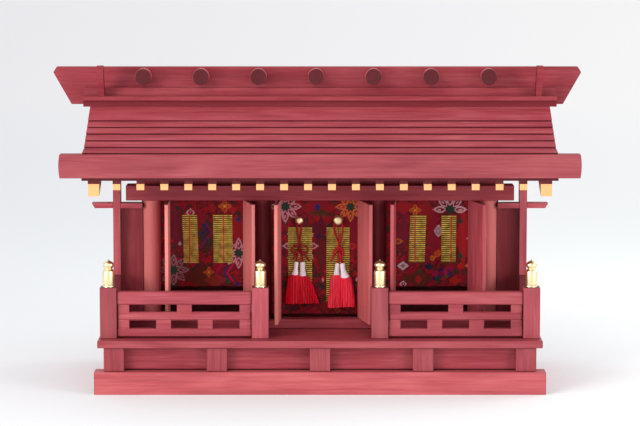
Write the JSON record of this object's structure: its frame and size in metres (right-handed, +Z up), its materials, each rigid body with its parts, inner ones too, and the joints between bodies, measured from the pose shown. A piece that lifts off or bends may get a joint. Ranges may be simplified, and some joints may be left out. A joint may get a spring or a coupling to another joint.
{
  "type": "household shrine shelf",
  "caption": "Three-bay household shrine shelf in red-stained wood, with a stepped gable roof, hinged door pairs, brocade curtains, tassels and a railed veranda.",
  "frame": {"origin": "on the standing surface, under the middle of the roof", "axes": "+X along the ridge, to the right seen from the front; -Y the front with the doors; +Z up"},
  "size_m": [0.63, 0.28, 0.3768],
  "materials": {
    "red_wood": "wine-red stain, satin",
    "brass": "polished",
    "brocade": "woven red brocade with gilt bars",
    "silk": "red and white rayon thread"
  },
  "bodies": {
    "shrine": {"base_back": "red_wood", "base_side_left": "red_wood", "base_side_right": "red_wood", "cabinet_back": "red_wood", "cabinet_side_left": "red_wood", "cabinet_side_right": "red_wood", "centre_bay_cloth": "brocade", "eave_board_back": "red_wood", "eave_board_front": "red_wood", "finial_1": "brass", "finial_2": "brass", "finial_3": "brass", "finial_4": "brass", "left_bay_cloth": "brocade", "lintel": "red_wood", "pillar_1": "red_wood", "pillar_2": "red_wood", "pillar_3": "red_wood", "pillar_4": "red_wood", "rafter_deck_back": "red_wood", "rafter_deck_front": "red_wood", "railing_left": "red_wood", "railing_post_1": "red_wood", "railing_post_2": "red_wood", "railing_post_3": "red_wood", "railing_post_4": "red_wood", "railing_right": "red_wood", "ridge_board": "red_wood", "ridge_cover_back": "red_wood", "ridge_cover_front": "red_wood", "right_bay_cloth": "brocade", "riser_front": "red_wood", "roof_board_back": "red_wood", "roof_board_front": "red_wood", "screen_cap_left": "red_wood", "screen_cap_right": "red_wood", "screen_panel_left": "red_wood", "screen_panel_right": "red_wood", "side_board_left": "red_wood", "side_board_right": "red_wood", "sill_front": "red_wood", "strut_1": "red_wood", "strut_2": "red_wood", "strut_3": "red_wood", "strut_4": "red_wood", "strut_5": "red_wood", "stud_left": "brass", "stud_right": "brass", "tassel_cord_left": "silk", "tassel_cord_right": "silk", "tassel_left": "silk", "tassel_right": "silk", "threshold": "red_wood", "veranda_floor": "red_wood"},
    "centre_bay_door_left": {"centre_bay_door_left": "red_wood"},
    "centre_bay_door_right": {"centre_bay_door_right": "red_wood"},
    "left_bay_door_left": {"left_bay_door_left": "red_wood"},
    "left_bay_door_right": {"left_bay_door_right": "red_wood"},
    "right_bay_door_left": {"right_bay_door_left": "red_wood"},
    "right_bay_door_right": {"right_bay_door_right": "red_wood"}
  },
  "joints": [
    {"name": "left_bay_door_left_hinge", "type": "hinge", "parent": "shrine", "child": "left_bay_door_left", "pos_m": [-0.18055, -0.038, 0.0739], "axis": [0, 0, 1], "range_deg": [-40.7, 89.3]},
    {"name": "left_bay_door_right_hinge", "type": "hinge", "parent": "shrine", "child": "left_bay_door_right", "pos_m": [-0.08805, -0.038, 0.0739], "axis": [0, 0, -1], "range_deg": [-4.5, 102.5]},
    {"name": "centre_bay_door_left_hinge", "type": "hinge", "parent": "shrine", "child": "centre_bay_door_left", "pos_m": [-0.04875, -0.038, 0.0739], "axis": [0, 0, 1], "range_deg": [-13.5, 93.5]},
    {"name": "centre_bay_door_right_hinge", "type": "hinge", "parent": "shrine", "child": "centre_bay_door_right", "pos_m": [0.04875, -0.038, 0.0739], "axis": [0, 0, -1], "range_deg": [-4, 103]},
    {"name": "right_bay_door_left_hinge", "type": "hinge", "parent": "shrine", "child": "right_bay_door_left", "pos_m": [0.08805, -0.038, 0.0739], "axis": [0, 0, 1], "range_deg": [-12.5, 94.5]},
    {"name": "right_bay_door_right_hinge", "type": "hinge", "parent": "shrine", "child": "right_bay_door_right", "pos_m": [0.18055, -0.038, 0.0739], "axis": [0, 0, -1], "range_deg": [-24, 106]}
  ]
}
